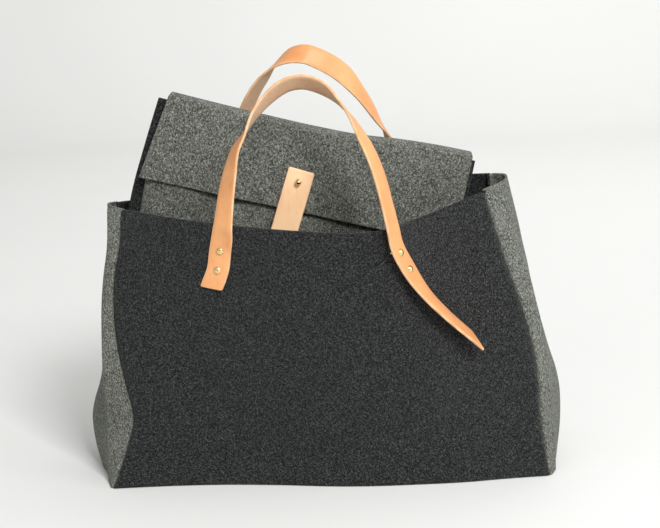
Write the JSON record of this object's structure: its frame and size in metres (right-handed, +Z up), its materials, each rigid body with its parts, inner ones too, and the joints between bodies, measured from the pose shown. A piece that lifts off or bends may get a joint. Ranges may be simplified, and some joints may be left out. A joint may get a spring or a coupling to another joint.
{
  "type": "weekender bag",
  "caption": "Open-topped wool felt tote with riveted leather strap handles and a lift-out felt pouch that closes with a flap and a stud tab.",
  "frame": {"origin": "middle of the base, on the surface the bag stands on", "axes": "+X to the right as seen from the front, along the bag's length; -Y out of the front panel; +Z up"},
  "size_m": [0.5703, 0.2779, 0.4967],
  "materials": {
    "charcoal_felt": "matte wool felt, flecked",
    "grey_felt": "matte wool felt, flecked",
    "natural_leather": "satin grain side, brushed flesh side, raw edges",
    "brass": "polished"
  },
  "bodies": {
    "tote": {"front_panel": "charcoal_felt", "back_panel": "charcoal_felt", "base_panel": "charcoal_felt", "left_gusset": "grey_felt", "right_gusset": "grey_felt", "front_handle_left_end": "natural_leather", "front_handle_right_end": "natural_leather", "front_handle_rivet_1_cap": "brass", "front_handle_rivet_1_post": "brass", "front_handle_rivet_2_cap": "brass", "front_handle_rivet_2_post": "brass", "front_handle_rivet_3_cap": "brass", "front_handle_rivet_3_post": "brass", "front_handle_rivet_4_cap": "brass", "front_handle_rivet_4_post": "brass", "back_handle_left_end": "natural_leather", "back_handle_right_end": "natural_leather", "back_handle_rivet_1_cap": "brass", "back_handle_rivet_1_post": "brass", "back_handle_rivet_2_cap": "brass", "back_handle_rivet_2_post": "brass", "back_handle_rivet_3_cap": "brass", "back_handle_rivet_3_post": "brass", "back_handle_rivet_4_cap": "brass", "back_handle_rivet_4_post": "brass"},
    "front_handle": {"front_handle_loop": "natural_leather"},
    "back_handle": {"back_handle_loop": "natural_leather"},
    "pouch": {"pouch_back": "charcoal_felt", "pouch_front": "grey_felt", "closing_stud": "brass", "closing_stud_screw": "brass"},
    "flap": {"pouch_flap": "grey_felt", "closure_tab_top": "natural_leather", "tab_stud": "brass", "tab_stud_post": "brass"},
    "tab": {"closure_tab_tongue": "natural_leather"}
  },
  "joints": [
    {"name": "front_handle_fold", "type": "hinge", "parent": "tote", "child": "front_handle", "pos_m": [-0.02075, -0.1425, 0.297], "axis": [0.9966, -0.0824, 0], "range_deg": [0, 140]},
    {"name": "back_handle_fold", "type": "hinge", "parent": "tote", "child": "back_handle", "pos_m": [-0.01, 0.1115, 0.297], "axis": [-0.9979, -0.0653, 0], "range_deg": [0, 140]},
    {"name": "pouch_lift", "type": "slide", "parent": "tote", "child": "pouch", "axis": [0.2215, 0, 0.9751], "range_m": [0, 0.45]},
    {"name": "flap_open", "type": "hinge", "parent": "pouch", "child": "flap", "pos_m": [-0.00904, 0.004, 0.40219], "axis": [-0.9751, 0, 0.2215], "range_deg": [0, 40]},
    {"name": "tab_open", "type": "hinge", "parent": "flap", "child": "tab", "pos_m": [-0.03521, -0.0173, 0.33055], "axis": [-0.9537, 0, 0.3007], "range_deg": [0, 50]}
  ]
}
